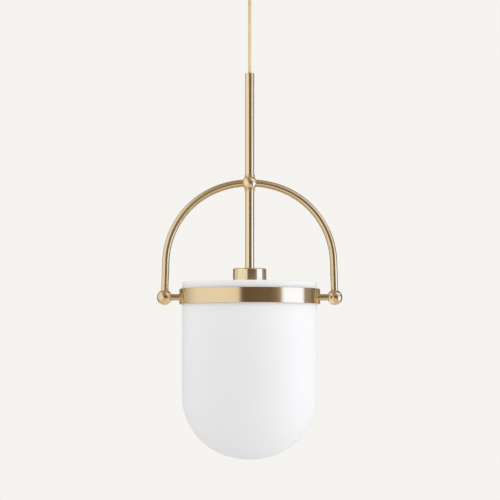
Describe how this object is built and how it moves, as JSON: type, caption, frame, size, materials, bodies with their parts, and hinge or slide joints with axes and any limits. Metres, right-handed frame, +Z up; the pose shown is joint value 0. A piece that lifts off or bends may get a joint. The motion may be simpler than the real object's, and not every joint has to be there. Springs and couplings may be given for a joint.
{
  "type": "pendant ceiling light",
  "caption": "Pendant ceiling light: a round-bottomed opal glass in a brass band that tilts on pins between the ball ends of a round bail, on a brass stem hung by its cord from a canopy.",
  "frame": {"origin": "middle of the mounting bar's slots, on its upper face, in the plane of the ceiling", "axes": "+Z up, out of the bar towards the ceiling; +X along the bail, to the right in the picture; the camera looks along +Y"},
  "size_m": [0.2612, 0.1986, 0.6943],
  "materials": {
    "satin_brass": "satin, brushed around, clear lacquered",
    "polished_brass": "polished, clear lacquered",
    "opal_glass": "satin opal white, mouth-blown, fire-polished rim",
    "cord_cover": "woven pale gold sleeve",
    "zinc_steel": "zinc plated",
    "earth_green": "green passivated",
    "porcelain": "glazed white",
    "phenolic": "moulded black",
    "white_plastic": "moulded",
    "nylon": "natural",
    "silicone": "translucent",
    "lead_insulation": "PVC",
    "nickel": "nickel plated",
    "lamp_opal": "opal, matt"
  },
  "bodies": {
    "canopy": {"mounting_bar": "zinc_steel", "canopy": "satin_brass", "canopy_studs": "zinc_steel", "canopy_cap_nuts": "satin_brass", "cord_grip": "satin_brass", "grip_screw": "zinc_steel", "grip_washer": "zinc_steel", "grip_locknut": "zinc_steel", "canopy_cord_tail": "cord_cover", "terminal_block": "white_plastic", "terminal_screws": "zinc_steel", "block_screw": "zinc_steel", "earth_screw": "earth_green", "canopy_leads": "lead_insulation"},
    "cord": {"hanging_cord": "cord_cover"},
    "ferrule": {"stem_ferrule": "polished_brass", "ferrule_bush": "nylon", "ferrule_nipple": "zinc_steel", "ferrule_cord": "cord_cover"},
    "frame": {"upper_stem": "satin_brass", "upper_collar": "polished_brass", "cross_fitting": "satin_brass", "lower_collar": "polished_brass", "cross_nipple": "zinc_steel", "lower_stem": "satin_brass", "bail_arm_left": "satin_brass", "bail_arm_right": "satin_brass", "bail_ball_left": "polished_brass", "bail_ball_right": "polished_brass", "pivot_pin_left": "polished_brass", "pivot_pin_right": "polished_brass", "pin_screw_left": "zinc_steel", "pin_screw_right": "zinc_steel", "socket_cup": "satin_brass", "socket_nipple": "zinc_steel", "cup_washer": "zinc_steel", "cup_locknut": "zinc_steel", "lampholder_cap": "phenolic", "lampholder_body": "porcelain", "lampholder_shell": "nickel", "lampholder_contact": "polished_brass", "lampholder_terminals": "polished_brass", "lampholder_leads": "lead_insulation", "stem_cord": "cord_cover"},
    "shade": {"shade_band": "satin_brass", "glass_shade": "opal_glass", "band_gasket": "silicone", "pivot_bush_left": "nylon", "pivot_bush_right": "nylon"},
    "bulb": {"bulb_globe": "lamp_opal", "bulb_collar": "white_plastic", "bulb_base": "nickel", "bulb_insulator": "phenolic", "bulb_contact": "zinc_steel"}
  },
  "joints": [
    {"name": "cord_swing", "type": "hinge", "parent": "canopy", "child": "cord", "pos_m": [0, 0, -0.038], "axis": [0, 1, 0], "range_deg": [-15, 15]},
    {"name": "stem_swing", "type": "hinge", "parent": "cord", "child": "ferrule", "pos_m": [0, 0, -0.1544], "axis": [1, 0, 0], "range_deg": [-15, 15]},
    {"name": "stem_turn", "type": "hinge", "parent": "ferrule", "child": "frame", "pos_m": [0, 0, -0.1641], "axis": [0, 0, 1], "range_deg": [-90, 90]},
    {"name": "shade_tilt", "type": "hinge", "parent": "frame", "child": "shade", "pos_m": [0, 0, -0.46679], "axis": [1, 0, 0], "range_deg": [-30, 30]},
    {"name": "bulb_turn", "type": "hinge", "parent": "frame", "child": "bulb", "pos_m": [0, 0, -0.47808], "axis": [0, 0, -1], "range_deg": [0, 1440]}
  ]
}
